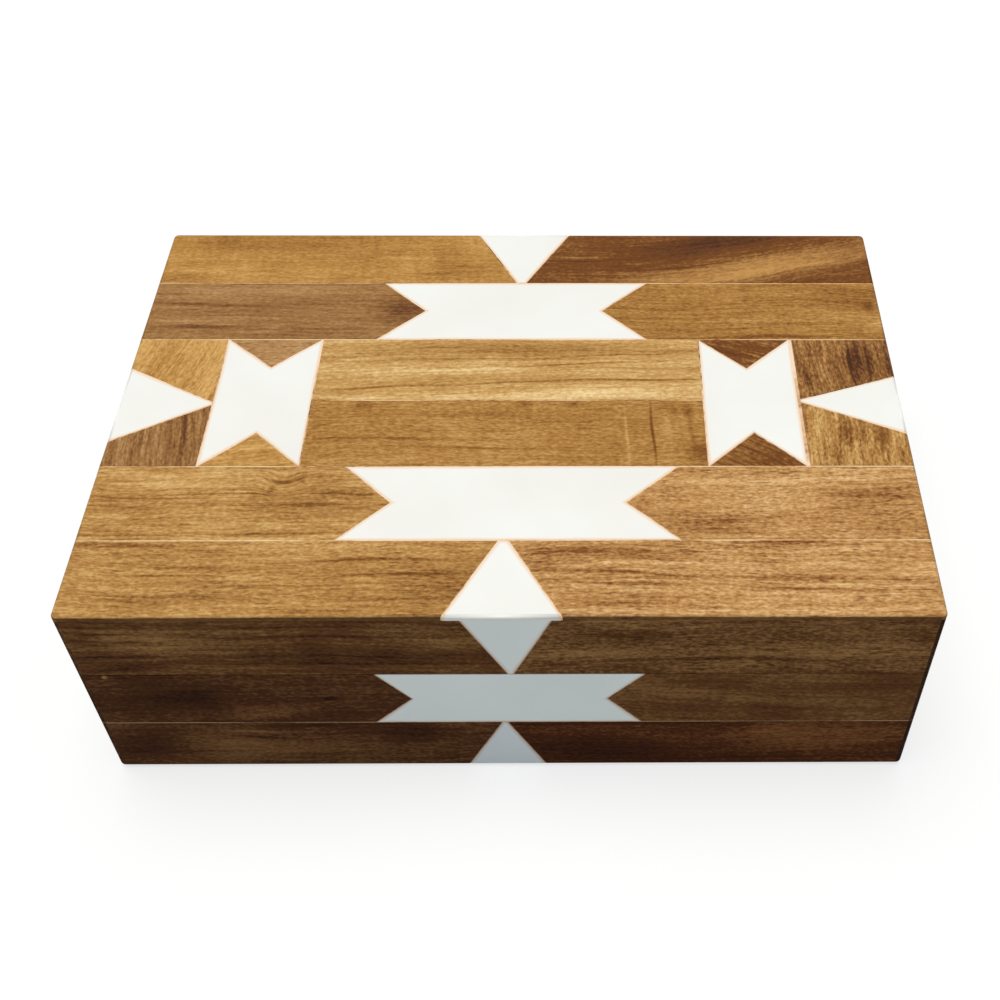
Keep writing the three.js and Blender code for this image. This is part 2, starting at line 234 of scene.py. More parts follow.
# How far the grain wanders, and the shine of the sides, which are duller than the top
GRAIN_WANDER = 6.0
SIDE_SPECULAR = 0.12


def bend_grain(g, place, grain, across, sweep, knot):
    """The place by which the grain is drawn: it wanders, and may sweep off or pass round a knot.

    A sweep is (start along the grain, rise). A knot, on the top face alone, is (place along,
    place across, reach, push).
    """
    wobble = g.vector("SUBTRACT", g.noise(place, [0.018] * 3, 2.0, output="Color"), [0.5] * 3)
    bent = g.vector("ADD", place, g.vector("SCALE", wobble, Scale=GRAIN_WANDER))
    if sweep:
        start, rise = sweep
        run = g.math("MAXIMUM", g.math("SUBTRACT", g.part(bent, grain), start), 0.0)
        drop = g.math("MULTIPLY", g.math("POWER", run, 1.5), -rise)
        bent = g.vector("ADD", bent, g.put("ShaderNodeCombineXYZ", {across: drop}))
    if knot:
        place_along, place_across, reach, push = knot
        centre = triple(HIGH, {grain: place_along, across: place_across})
        swell = g.smooth(g.vector("DISTANCE", place, centre, output=1), 0.0, reach, push, 0.0)
        bent = g.vector("ADD", bent, g.put("ShaderNodeCombineXYZ", {across: swell}))
    return bent


def mark_tones(g, place, marks, grain, across, normal):
    """For each mark a tone that is its strength in its middle and fades to 0 at its outline.

    A mark is an oval in the plane of the face: (place along, place across, half length,
    half width, strength), and after these the degrees of an oval that is turned.
    """
    tones = []
    for place_along, place_across, half_length, half_width, strength, *degrees in marks:
        oval = g.put("ShaderNodeMapping", {
            "Vector": place,
            "Location": triple(0.0, {grain: place_along, across: place_across}),
            "Rotation": triple(0.0, {normal: math.radians(sum(degrees))}),
            "Scale": triple(1000.0, {grain: half_length, across: half_width}),
        }, vector_type="TEXTURE")
        tones.append(g.smooth(g.vector("LENGTH", oval, output=1), 0.0, 1.0, strength, 0.0))
    return tones


def darken_edges(g, shade, grain, normal, ends, rim, corner):
    """Darkens the end grain, partly as painted shade, and paints shade on rims and upright corners, by
    shares from 0 to 1.
    """
    facing = g.put("ShaderNodeTexCoord", {}, "Normal")
    # The end grain is darker: partly the wood's own tone, partly painted shade
    end_grain_and_shade = g.smooth(g.math("ABSOLUTE", g.part(facing, grain)), 0.45, 0.95, 0.0, ends)
    shade = g.mix(end_grain_and_shade, shade, END_GRAIN_AND_PAINTED_SHADE, "MULTIPLY")
    # Painted shade: the rim, where the surface turns away from its face, is made darker
    if rim:
        painted_shade_share = g.smooth(g.math("ABSOLUTE", g.part(facing, normal)), 0.35, 0.62, rim, 0.0)
        shade = g.mix(painted_shade_share, shade, RIM_PAINTED_SHADE, "MULTIPLY")
    # Painted shade on the rounded upright corners, between an x face and a y face
    if corner:
        between = g.math("ABSOLUTE", g.math("MULTIPLY", g.part(facing, 0), g.part(facing, 1)))
        painted_shade_share = g.smooth(between, 0.15, 0.42, 0.0, corner)
        shade = g.mix(painted_shade_share, shade, CORNER_PAINTED_SHADE, "MULTIPLY")
    return shade


def wood(name, tones, along="x", face="z", turn=0.0, seed=0.0, level=0.0, bands=0.25, streaks=0.25,
         fibre=0.4, grit=0.4, cloud=0.35, shimmer=0.12, pores=0.3, sweep=None, knot=None, marks=(),
         ends=0.6, rim=0.0, corner=0.0, dullness=0.92, specular=0.35):
    """Wood. Its grain runs along an axis, turned by some degrees in the plane of the face.

    bands, streaks, fibre and grit are the strengths of its figure, from the broadest to the finest.
    ends says how much darker the end grain is, partly its own tone and partly painted shade; rim and
    corner say how much painted shade falls where an edge turns away from the face and at upright
    corners.
    """
    g = Graph(name)
    grain, normal = FACE_AXES[along], FACE_AXES[face]
    across = 3 - grain - normal
    bent = bend_grain(g, g.point(), grain, across, sweep, knot)
    spin = {"Vector": bent, "Axis": triple(0.0, {normal: 1.0}), "Angle": math.radians(-turn)}
    turned = g.put("ShaderNodeVectorRotate", spin)
    seeded = g.vector("ADD", turned, [37.1 * seed, 61.7 * seed, 23.3 * seed])

    def grained(long_way, short_way, detail=2.0, rough=0.5):
        return g.noise(seeded, triple(short_way, {grain: long_way}), detail, rough)

    tone = 0.5 + level
    for part in (
            g.swing(grained(0.005, 0.13, 3.0, 0.55), 1.5 * bands),
            g.swing(grained(0.012, 0.50, 3.0, 0.6), 1.5 * streaks),
            g.swing(grained(0.06, 0.95, 2.0, 0.6), 2.0 * fibre),
            g.swing(grained(0.60, 1.25, 1.0, 0.6), 2.6 * grit),
            g.swing(g.noise(seeded, [0.035] * 3, 3.0), 1.4 * cloud),
            g.swing(grained(0.40, 0.07, 1.0), shimmer),
            g.smooth(grained(0.010, 0.42, 2.0), 0.58, 0.70, 0.0, -0.5 * streaks),
            *mark_tones(g, bent, marks, grain, across, normal)):
        tone = g.math("ADD", part, tone)
    thin = g.smooth(grained(0.22, 1.7, 1.0), 0.56, 0.68)
    crowd = g.smooth(g.noise(seeded, [0.05, 0.09, 0.09], 2.0), 0.35, 0.62)
    pore = g.math("MULTIPLY", thin, crowd)

    # The ramp runs on past the darkest and the lightest tone, so strong marks keep their grain
    dark, middle, light = [colour(code) for code in TONES[tones]]
    deepest = [0.5 * d for d in dark[:3]] + [1]
    palest = [min(1.0, li + 0.6 * (li - mi)) for li, mi in zip(light, middle)]
    stops = zip((0.0, 0.25, 0.5, 0.75, 1.0), (deepest, dark, middle, light, palest))
    base = g.ramp(g.scaled(tone, 0.5, 0.25), list(stops))
    shade = g.mix(g.math("MULTIPLY", pore, pores), base, PORE_SHADE, "MULTIPLY")
    shade = darken_edges(g, shade, grain, normal, ends, rim, corner)

    height = g.math("SUBTRACT", g.math("MULTIPLY", grained(0.06, 2.4, 2.0), 0.4), pore)
    rough = g.math("ADD", g.swing(grained(0.03, 0.5), 0.18), g.scaled(pore, 0.15, dullness))
    return g.finish(
        Base_Color=shade, Roughness=rough, Specular_IOR_Level=specular,
        Normal=g.bump(height, 0.35, 0.05),
    )


# Two shades of each resin, and its shade where the glue has bled into its edge. The warm set is the
# top's own; the other two are painted shade: cooler on the upright faces, bluer and darker in the lowest
# row
RESINS = {
    "warm": ("#f4f1ed", "#faf8f5", "#f7dcc0"),
    "painted_cool_shade": ("#f3f8f9", "#fafeff", "#ecdacb"),
    "painted_low_shade": ("#e4e9ef", "#ebeff5", "#decdc4"),
}


def resin(name, sheet, outline, seed, tint):
    """Cast white resin with faint clouds, hairline scratches and glue that shows in its edge."""
    g = Graph(name)
    place = g.vector("ADD", g.point(), [17.3 * seed, 41.9 * seed, 5.1 * seed])
    cloud = g.noise(place, [0.03] * 3, 3.0)
    low, high, glued = RESINS[tint]
    base = g.ramp(cloud, [(0.3, low), (0.7, high)])
    reach = g.math("ADD", g.swing(g.noise(place, [0.06] * 3, 1.0), 1.6), GLUE_BLEED)
    bleed = g.smooth(sheet.depth(g, outline), 0.0, reach, 1.0, 0.0)
    base = g.mix(bleed, base, colour(glued))
    scratch = g.smooth(g.noise(place, [0.25, 4.0, 4.0], 1.0), 0.66, 0.72)
    rough = g.math("ADD", g.swing(g.noise(place, [0.09] * 3, 3.0), 0.12), 0.30)
    rough = g.math("ADD", g.math("MULTIPLY", scratch, 0.12), rough)
    height = g.math("SUBTRACT", g.math("MULTIPLY", g.noise(place, [0.22] * 3, 1.0), 0.5), scratch)
    return g.finish(
        Base_Color=base, Roughness=rough, Specular_IOR_Level=0.4, Normal=g.bump(height, 0.08, 0.03),
    )


# The first tone of each is its dark stretch: thin glue, and round the inlays partly painted shade at
# their edge
GLUES = {
    "strips": ("#80502a", "#e0aa6e", "#ffdfb0"),
    "resin": ("#6d4a30", "#dcae86", "#fbdcc2"),
    "front": ("#38230f", "#826040", "#c8a274"),
    "front_resin": ("#4a3320", "#94735a", "#d0b096"),
}


def glue(name, kind, seed):
    """Glue lines: mostly light, with darker stretches where they are thin, and beside the inlays also
    painted shade.
    """
    g = Graph(name)
    place = g.vector("ADD", g.point(), [29.9 * seed, 13.7 * seed, 7.7 * seed])
    long_way = g.noise(place, [0.026] * 3, 2.0)
    short_way = g.swing(g.noise(place, [0.4] * 3, 2.0), 0.4)
    tone = g.math("ADD", long_way, short_way)
    dark, middle, light = GLUES[kind]
    base = g.ramp(tone, [(0.32, dark), (0.43, middle), (0.58, light)])
    height = g.noise(place, [1.2] * 3, 2.0)
    return g.finish(
        Base_Color=base, Roughness=0.45, Specular_IOR_Level=0.3, Normal=g.bump(height, 0.3, 0.05),
    )


def brass():
    """Dull brass with brushing and a little tarnish."""
    g = Graph("satin_brass")
    place = g.point()
    brushed = g.noise(place, [0.15, 7.0, 7.0], 2.0)
    tarnish = g.smooth(g.noise(place, [0.25] * 3, 4.0, 0.6), 0.45, 0.75, 0.0, 0.55)
    base = g.mix(tarnish, colour("#caa45a"), colour("#a07c3e"))
    rough = g.math("ADD", g.swing(brushed, 0.2), g.scaled(tarnish, 0.2, 0.8))
    return g.finish(
        Base_Color=base, Metallic=1.0, Roughness=rough, Normal=g.bump(brushed, 0.2, 0.02),
    )


def felt(name, seed):
    """Pressed black felt: short matted fibres, with lint and pile that lies in patches."""
    g = Graph(name)
    place = g.vector("ADD", g.point(), [11.3 * seed, 19.1 * seed, 3.7 * seed])
    swirl = g.vector("SUBTRACT", g.noise(place, [0.35] * 3, 2.0, output="Color"), [0.5] * 3)
    matted = g.vector("ADD", place, g.vector("SCALE", swirl, Scale=3.0))
    fibres = g.noise(matted, [3.2, 0.7, 3.2], 3.0, 0.7)
    crossing = g.noise(matted, [0.7, 3.2, 3.2], 3.0, 0.7)
    pile = g.math("MAXIMUM", fibres, crossing)
    patch = g.noise(place, [0.02] * 3, 3.0)
    tone = g.math("ADD", g.swing(patch, 0.5), pile)
    base = g.ramp(tone, [(0.35, "#0f0e0e"), (0.60, "#1f1d1c"), (0.85, "#3a3735")])
    return g.finish(
        Base_Color=base, Roughness=0.95, Specular_IOR_Level=0.1, Sheen_Weight=0.35,
        Sheen_Roughness=0.5, Normal=g.bump(pile, 0.8, 0.25),
    )


# Meshes

def make_object(name, data):
    piece = bpy.data.objects.new(name, data)
    bpy.context.scene.collection.objects.link(piece)
    return piece


def object_from(name, builder):
    mesh = bpy.data.meshes.new(name)
    builder.to_mesh(mesh)
    builder.free()
    return make_object(name, mesh)


def discard(*helpers):
    for helper in helpers:
        bpy.data.objects.remove(helper)


def block(low, high):
    """A closed box between two corners, in millimetres."""
    builder = bmesh.new()
    bmesh.ops.create_cube(builder, size=1.0)
    size = Vector(high) - Vector(low)
    middle = (Vector(high) + Vector(low)) / 2
    for vertex in builder.verts:
        vertex.co = Vector(c * s + m for c, s, m in zip(vertex.co, size, middle)) * MM
    return builder


def join_flat_faces(builder, weld, degrees):
    """Welds vertices that lie closer than weld, and joins faces that are flat to some degrees."""
    bmesh.ops.remove_doubles(builder, verts=builder.verts, dist=weld * MM)
    bmesh.ops.dissolve_limit(
        builder, angle_limit=math.radians(degrees), verts=builder.verts, edges=builder.edges)


def node_mesh(node):
    """The node's solid with whole faces in place of triangles."""
    builder = bmesh.new()
    builder.from_mesh(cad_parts[node].data)
    join_flat_faces(builder, WELD, FLAT_DEGREES)
    return builder


def at(value, plane):
    return abs(value - plane) < NEAR


def node_corners(node):
    return [vertex.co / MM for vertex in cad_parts[node].data.vertices]


def groove_flank(body):
    """Height at the back face, and slope, of the flank of the groove that a body's sheets have."""
    seam = {"body": BODY_TOP, "lid": LID_BOTTOM}[body]
    corners = node_corners(body + "_left_sheet")
    root = max(corner.y for corner in corners if at(corner.z, seam))
    heights = [corner.z for corner in corners if at(corner.y, DEEP)]
    mouth = min(heights, key=lambda height: abs(height - seam))
    return mouth, (mouth - seam) / (DEEP - root)


def widened_node(node):
    """The node's solid, run on past the outer faces of the box. Its groove keeps its slope."""
    mouth, slope = groove_flank(node.split("_")[0])
    builder = node_mesh(node)
    for vertex in builder.verts:
        corner = vertex.co / MM
        if at(abs(corner.x), WIDE):
            corner.x += math.copysign(OVERSHOOT, corner.x)
        if at(corner.z, BODY_BOTTOM):
            corner.z -= OVERSHOOT
        if at(abs(corner.y), DEEP):
            corner.y += math.copysign(OVERSHOOT, corner.y)
            if at(corner.z, mouth):
                corner.z += slope * OVERSHOOT
        vertex.co = corner * MM
    return builder


def closed_rings(name, builder, rings):
    """A solid through rings of as many vertices each, closed over the first and the last ring."""
    builder.faces.new(rings[0])
    builder.faces.new(rings[-1])
    for lower, upper in zip(rings, rings[1:]):
        for i in range(len(lower)):
            builder.faces.new((lower[i - 1], lower[i], upper[i], upper[i - 1]))
    bmesh.ops.recalc_face_normals(builder, faces=builder.faces)
    return object_from(name, builder)


def arc(radius, start):
    """Points of a quarter circle, from its start angle in degrees."""
    angles = [math.radians(start + 90 * i / ARC_SEGMENTS) for i in range(ARC_SEGMENTS + 1)]
    return [(radius * math.cos(angle), radius * math.sin(angle)) for angle in angles]


def rounded_box(low, high, foot, top):
    """The whole box between two heights, with round upright corners, foot and top."""
    levels = [(low + foot - rise, foot - inset) for inset, rise in arc(foot, 0)][::-1]
    levels += [(high - top + rise, top - inset) for inset, rise in arc(top, 0)]
    builder = bmesh.new()
    rings = []
    for height, inset in levels:
        radius = CORNER_RADIUS - inset
        ring = []
        for turn, (side_x, side_y) in enumerate(((1, 1), (-1, 1), (-1, -1), (1, -1))):
            for x, y in arc(radius, 90 * turn):
                x += side_x * (WIDE - CORNER_RADIUS)
                y += side_y * (DEEP - CORNER_RADIUS)
                ring.append(builder.verts.new(Vector((x, y, height)) * MM))
        rings.append(ring)
    return closed_rings("rounded_box", builder, rings)


def edges(outline):
    """Each edge of the outline: its start, its end, its direction and the direction outwards."""
    ends = outline[1:] + outline[:1]
    area = sum(start.cross(end) for start, end in zip(outline, ends))
    turn = math.copysign(1.0, area)
    for start, end in zip(outline, ends):
        along = (end - start).normalized()
        yield start, end, along, Vector((along.y, -along.x)) * turn


def shifted(outline, distance):
    """The outline with each edge moved outwards by distance(start, end)."""
    lines = [
        (start + outwards * distance(start, end), along)
        for start, end, along, outwards in edges(outline)
    ]
    return [
        first + along * ((second - first).cross(other) / along.cross(other))
        for (first, along), (second, other) in zip(lines[-1:] + lines[:-1], lines)
    ]


class Sheet:
    """A flat sheet inside a rounded box, cut into pieces along their outlines."""

    def __init__(self, name, face, builder, outside):
        self.normal = FACE_AXES[face]
        self.plane = PLANES[face]
        self.blank = object_from(name + "_blank", builder)
        self.blank.data = boolean(self.blank, outside, "INTERSECT")
        corners = [vertex.co / MM for vertex in self.blank.data.vertices]
        self.low = [min(corner[i] for corner in corners) for i in range(3)]
        self.high = [max(corner[i] for corner in corners) for i in range(3)]
        self.cutters = []
        self.inlays = []

    def on_rim(self, start, end):
        return any(
            at(start[i], limit) and at(end[i], limit)
            for i, axis in enumerate(self.plane)
            for limit in (self.low[axis], self.high[axis]))

    def depth(self, g, outline):
        """How deep a point lies behind the outline's edges, in millimetres. The rim doesn't count.

        Two edges that meet in a notch count as one, with the greater of their depths.
        """
        place = g.point()
        depths, before = [], None
        # The outermost corner comes first, because it is no notch
        first = min(range(len(outline)), key=lambda i: tuple(outline[i]))
        for start, end, along, outwards in edges(outline[first:] + outline[:first]):
            if not self.on_rim(start, end):
                inwards = triple(0.0, dict(zip(self.plane, -outwards)))
                run = g.vector("DOT_PRODUCT", place, inwards, output=1)
                depth = g.math("ADD", run, outwards.dot(start))
                if before is not None and before.dot(along) > NEAR:
                    depth = g.math("MAXIMUM", depths.pop(), depth)
                depths.append(depth)
            before = outwards
        return reduce(lambda one, other: g.math("MINIMUM", one, other), depths)

    def cutter(self, outline, reach=0.0):
        """A prism of the outline, wider by reach, that runs on past the rim and past both faces."""
        wide = shifted(outline, lambda a, b: OVERSHOOT if self.on_rim(a, b) else reach)
        builder = bmesh.new()
        rings = []
        for depth in (self.low[self.normal] - OVERSHOOT, self.high[self.normal] + OVERSHOOT):
            places = [Vector(triple(depth, dict(zip(self.plane, corner)))) for corner in wide]
            rings.append([builder.verts.new(place * MM) for place in places])
        return closed_rings("cutter", builder, rings)

    def piece(self, name, outline, inlay=False):
        cutter = self.cutter(outline)
        self.cutters.append(cutter)
        if inlay:
            self.inlays.append((name, outline))
        return make_object(name, boolean(self.blank, cutter, "INTERSECT"))

    def glue_lines(self, name):
        """What the pieces leave of the sheet, a little under its surface.

        Gives the glue between strips, and then the glue round each inlay.
        """
        shape = self.blank.data.copy()
        for i, (low, high) in enumerate(zip(self.low, self.high)):
            middle = (low + high) / 2
            share = 1 - GLUE_DEPTH / ((high - low) / 2)
            for vertex in shape.vertices:
                vertex.co[i] = ((vertex.co[i] / MM - middle) * share + middle) * MM
        net = make_object(name, shape)
        joined = bmesh.new()
        for cutter in self.cutters:
            joined.from_mesh(cutter.data)
        whole = object_from("cutters", joined)
        net.data = boolean(net, whole, "DIFFERENCE")
        discard(whole, *self.cutters)
        rings = []
        for inlay, outline in self.inlays:
            halo = self.cutter(outline, GLUE_REACH)
            rings.append(make_object(inlay + "_glue", boolean(net, halo, "INTERSECT")))
            net.data = boolean(net, halo, "DIFFERENCE")
            discard(halo)
        return net, rings

    def close(self):
        discard(self.blank)


def boolean(target, cutter, operation):
    modifier = target.modifiers.new("cut", "BOOLEAN")
    modifier.operation = operation
    modifier.solver = "EXACT"
    modifier.object = cutter
    seen = target.evaluated_get(bpy.context.evaluated_depsgraph_get())
    mesh = bpy.data.meshes.new_from_object(seen)
    target.modifiers.remove(modifier)
    return mesh


def tidy_faces(piece):
    """Joins flat faces, and shades only the rounded ones smooth."""
    builder = bmesh.new()
    builder.from_mesh(piece.data)
    join_flat_faces(builder, 2 * WELD, FLAT_DEGREES / 2)
    for face in builder.faces:
        face.smooth = max(abs(c) for c in face.normal) < FLAT_NORMAL
    builder.to_mesh(piece.data)
    builder.free()


def dress(piece, material, body, slot, *nodes):
    """Gives a piece its material and its body, and hides the nodes it stands for. The slot is not used.
    """
    piece.data.materials.clear()
    piece.data.materials.append(material)
    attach(piece, body)
    if nodes:
        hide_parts(*nodes)


def node_outline(node, face):
    """The corners of a node's outer face, in order, in the plane of its sheet."""
    normal = FACE_AXES[face]
    builder = node_mesh(node)
    flat = [f for f in builder.faces if abs(f.normal[normal]) > FLAT_NORMAL]
    widest = max(flat, key=lambda f: f.calc_area())
    first, second = PLANES[face]
    outline = [Vector((v.co[first], v.co[second])) / MM for v in widest.verts]
    builder.free()
    return outline


# Looks of the strips. Places are those of the strip's face, in millimetres.

# Tones that go into the slot of others
SLOT_KIN = {"amber": "honey", "tan": "honey", "chestnut": "brown", "umber": "shaded", "russet": "shaded"}


def wood_slot(tones):
    return SLOT_KIN.get(tones, tones) + "_wood"


TOP_STRIPS = {
    "top_back_left_strip": dict(
        tones="golden", fibre=0.2, grit=0.36, cloud=0.6, pores=0.2, shimmer=0.3,
        marks=[(-108, 84, 60, 12, -0.2), (-122, 62, 24, 6, -0.25), (-20, 68, 24, 9, -0.15),
               (-42, 75, 16, 1.6, 0.25), (-75, 64, 14, 1.2, 0.2), (-30, 66, 14, 0.9, -0.25),
               (-95, 70, 40, 8, -0.1)]),
    "top_back_right_strip": dict(
        tones="dark", level=-0.04, bands=0.3, streaks=0.3, fibre=0.17, grit=0.24, cloud=0.25, pores=0.4,
        sweep=(36, 0.0225),
        marks=[(85, 61.5, 80, 11, 0.5), (22, 75.5, 16, 1.2, 0.3), (22, 73.3, 16, 0.6, -0.4),
               (70, 79, 48, 9, -0.3), (60, 67.5, 30, 0.9, -0.35), (30, 84, 20, 6, -0.15),
               (112, 51, 26, 6, 0.1)]),
    "top_inner_back_left_strip": dict(
        tones="brown", level=0.02, bands=0.3, streaks=0.35, fibre=0.25, grit=0.31, cloud=0.2, pores=0.4,
        marks=[(-108, 35.6, 26, 1.5, -0.5, -1), (-72, 35, 34, 1, -0.3, 2),
               (-98, 47, 50, 1.5, -0.35, -3), (-90, 41.5, 50, 1.1, -0.3, -1), (-80, 32, 40, 0.9, -0.2),
               (-38, 46, 16, 12, -0.5), (-60, 51, 30, 4, -0.12), (-110, 38.5, 24, 2.4, 0.2),
               (-85, 56, 50, 4, 0.1)]),
    "top_inner_back_right_strip": dict(
        tones="honey", level=-0.02, streaks=0.35, fibre=0.32, cloud=0.2, pores=0.5, shimmer=0.25,
        marks=[(122.5, 48.5, 3, 5, -0.55), (118, 53, 20, 10, -0.25), (85, 31.5, 60, 1.4, -0.4, -1),
               (75, 44, 34, 1.4, -0.2, -1), (65, 36, 40, 1, -0.25), (60, 43, 25, 10, -0.08),
               (125, 38, 8, 6, 0.25)]),
    "top_inner_front_left_strip": dict(
        tones="amber", streaks=0.55, fibre=0.42, grit=0.34, cloud=0.25, pores=0.4,
        knot=(-69, -37.5, 9, 3.2),
        marks=[(-69, -34.4, 5.5, 1, -0.6), (-72.5, -38, 1.6, 5, -0.35, -8),
               (-64, -36, 3, 1, -0.35, -40), (-58, -45, 30, 16, -0.15), (-70, -57, 30, 1.6, -0.3),
               (-105, -43, 30, 0.8, -0.3, -4), (-115, -32, 20, 1.4, 0.2, -6),
               (-100, -38, 22, 1.6, 0.2, -4)]),
    "top_front_left_strip": dict(
        tones="amber", level=-0.02, streaks=0.45, fibre=0.32, grit=0.36, cloud=0.25, pores=0.7,
        marks=[(-20, -73, 60, 16, -0.2), (-40, -67.5, 40, 1, -0.4, 2), (-30, -73, 34, 1, -0.4, 3),
               (-30, -82.5, 34, 0.8, -0.3, 1), (-60, -77, 50, 0.8, -0.25, 1),
               # (-80, -88, ...) is a painted highlight along the front edge of the top
               (-112, -62, 26, 1.8, -0.4), (-80, -88, 70, 1.5, 0.2), (-100, -70, 40, 0.9, -0.2),
               (-110, -78, 30, 3, 0.12)]),
    "top_inner_front_right_strip": dict(
        tones="tan", level=-0.02, streaks=0.3, fibre=0.3, cloud=0.25, pores=0.8,
        marks=[(62, -54, 26, 8, -0.35), (85, -36, 60, 1.6, 0.2, 1), (112, -43, 24, 8, -0.2),
               (60, -32, 34, 1.8, -0.15), (85, -45, 26, 4, 0.1), (75, -51.5, 20, 0.8, -0.25, 4)]),
    "top_front_right_strip": dict(
        tones="tan", level=-0.02, bands=0.3, streaks=0.5, fibre=0.36, cloud=0.25, pores=0.8,
        marks=[(26, -65.5, 40, 3.4, -0.4, -1), (30, -73.5, 36, 1.1, -0.5, -3),
               (70, -74.5, 50, 0.8, -0.35), (36, -78, 26, 1, -0.45, -2), (88, -78.5, 22, 0.9, -0.4),
               # (60, -87.5, ...) is a painted highlight along the front edge of the top
               (105, -75.2, 28, 0.7, -0.35), (60, -87.5, 60, 1.3, 0.2), (55, -70.5, 60, 2, 0.15),
               (75, -61, 60, 1.2, -0.2)]),
    "top_left_back_block": dict(
        tones="golden", along="y", turn=-17, level=0.24, bands=0.4, streaks=0.7, fibre=0.38, grit=0.42,
        pores=0.4),
    "top_left_front_block": dict(
        tones="brown", along="y", turn=8, level=-0.08, bands=0.4, streaks=0.8, fibre=0.52, pores=0.5),
    "top_right_back_block": dict(
        tones="chestnut", along="y", turn=3, bands=0.5, streaks=0.8, fibre=0.52, grit=0.48, pores=0.6,
        marks=[(19, 116, 17, 6.5, -0.5), (10, 98, 10, 2.4, -0.35, 4), (14, 104, 12, 3, 0.25)]),
    "top_right_front_block": dict(
        tones="amber", along="y", level=-0.12, bands=0.6, streaks=0.7, fibre=0.46, grit=0.44, pores=0.5,
        marks=[(-15, 107, 10, 4.5, -0.42, 8), (-17, 118, 9, 4, -0.4, -8), (-24, 124, 9, 3, -0.3),
               (-12, 99, 14, 2.5, 0.25), (-22, 112, 6, 2, 0.2)]),
    "top_left_back_filler": dict(
        tones="brown", turn=4, level=0.23, streaks=0.3, fibre=0.32, grit=0.42),
    "top_left_front_filler": dict(
        tones="golden", turn=10, level=0.1, bands=0.35, streaks=0.4, fibre=0.45),
    "top_right_back_filler": dict(
        tones="dark", turn=-22, level=0.07, bands=0.35, streaks=0.4, fibre=0.36, grit=0.3),
    "top_right_front_filler": dict(
        tones="dark", turn=-32, level=0.06, bands=0.3, streaks=0.4, fibre=0.22, grit=0.24),
    "top_centre_back_strip": dict(
        tones="pale", turn=2.0, streaks=0.35, fibre=0.25, grit=0.27, cloud=0.15,
        marks=[(-45, 6.6, 34, 0.9, -0.5, 3), (0, 8.4, 40, 0.9, -0.5, 3), (40, 10.2, 34, 0.9, -0.5, 2),
               (0, 25, 90, 8, -0.35), (0, 2, 100, 4, 0.25), (35, 5, 45, 5, 0.15), (0, 14, 90, 3, 0.18),
               (25, 17.8, 50, 0.7, -0.4, 5), (30, 22, 44, 0.6, -0.3, 5)]),
    "top_centre_front_strip": dict(
        tones="honey", level=0.02, streaks=0.3, fibre=0.28, cloud=0.3, pores=0.5, shimmer=0.2,
        marks=[(45.3, -15, 0.8, 24, -0.7, 1), (51, -3, 8, 5, -0.25), (60, -24, 7, 10, -0.4),
               (57, -5, 3.5, 5, -0.35), (50, -16, 3.5, 16, 0.2), (37, -16, 0.9, 22, 0.3),
               (57.5, -14, 1.2, 18, -0.25, 1), (-38, -18, 40, 1.2, -0.4, -1),
               (-10, -22, 50, 1, -0.35, -1), (-47, -2, 6, 3, -0.4), (3, -1.5, 6, 2.5, -0.4),
               (20, -1.5, 5, 2.5, -0.35)]),
}

FRONT_STRIPS = {
    "lid_front_left_strip": dict(
        tones="shaded", level=-0.02, bands=0.35, streaks=0.5, fibre=0.26, grit=0.3, cloud=0.5,
        pores=0.4,
        marks=[(-100, 67, 28, 12, 0.3), (-110, 55, 24, 3, -0.3, -3), (-42, 70, 50, 1.3, -0.35, -2),
               (-40, 57, 50, 1.2, -0.35, -1), (-45, 64, 40, 9, -0.12), (-60, 74, 60, 1, -0.25, -1)]),
    "lid_front_right_strip": dict(
        tones="shaded", level=0.13, fibre=0.27, cloud=0.4, pores=1.0,
        marks=[(60, 58.6, 60, 1.2, -0.35), (95, 63, 44, 6, 0.25), (30, 70, 30, 9, -0.25),
               (30, 55, 34, 4, -0.25), (90, 55, 34, 4, 0.1)]),
    "body_front_upper_left_strip": dict(
        tones="umber", level=0.03, fibre=0.18, grit=0.3, cloud=0.5,
        marks=[(-78, 30.5, 36, 6, 0.35, -6), (-53, 38, 3.5, 1.6, -0.5), (-100, 38, 26, 8, -0.25, -14),
               (-122, 44, 10, 12, 0.2), (-50, 46, 30, 5, -0.15), (-119.4, 50.2, 1.2, 1.2, 2.5)]),
    "body_front_upper_right_strip": dict(
        tones="shaded", level=0.02, turn=3, fibre=0.2, grit=0.27, cloud=0.5,
        marks=[(78, 38, 50, 2.2, 0.2, 5), (60, 42, 30, 1.2, 0.2, 4), (110, 45, 20, 5, -0.15),
               (55, 33, 20, 5, -0.15)]),
    "body_front_lower_left_strip": dict(
        tones="umber", level=0.13, streaks=0.3, fibre=0.2, grit=0.3, cloud=0.45,
        marks=[(-82, 11, 40, 10, 0.32), (-80, 21, 18, 1.4, 0.35), (-78, 18, 14, 1, -0.35, 2),
               (-114, 14, 18, 14, -0.25), (-35, 20, 30, 7, -0.2), (-60, 24, 30, 1.5, -0.3)]),
    "body_front_lower_right_strip": dict(
        tones="russet", level=0.05, fibre=0.24, grit=0.32,
        marks=[(28, 10, 40, 12, -0.35, 4), (100, 17, 46, 14, 0.24), (74, 21, 22, 6, 0.12),
               (118, 12, 20, 3, -0.15)]),
}


def resin_tint_and_shade(face, low_row):
    """The top keeps warm resin; upright faces get a cool painted shade, and the lowest row a bluer,
    darker one.
    """
    if face == "z":
        return "warm"
    return "painted_low_shade" if low_row else "painted_cool_shade"


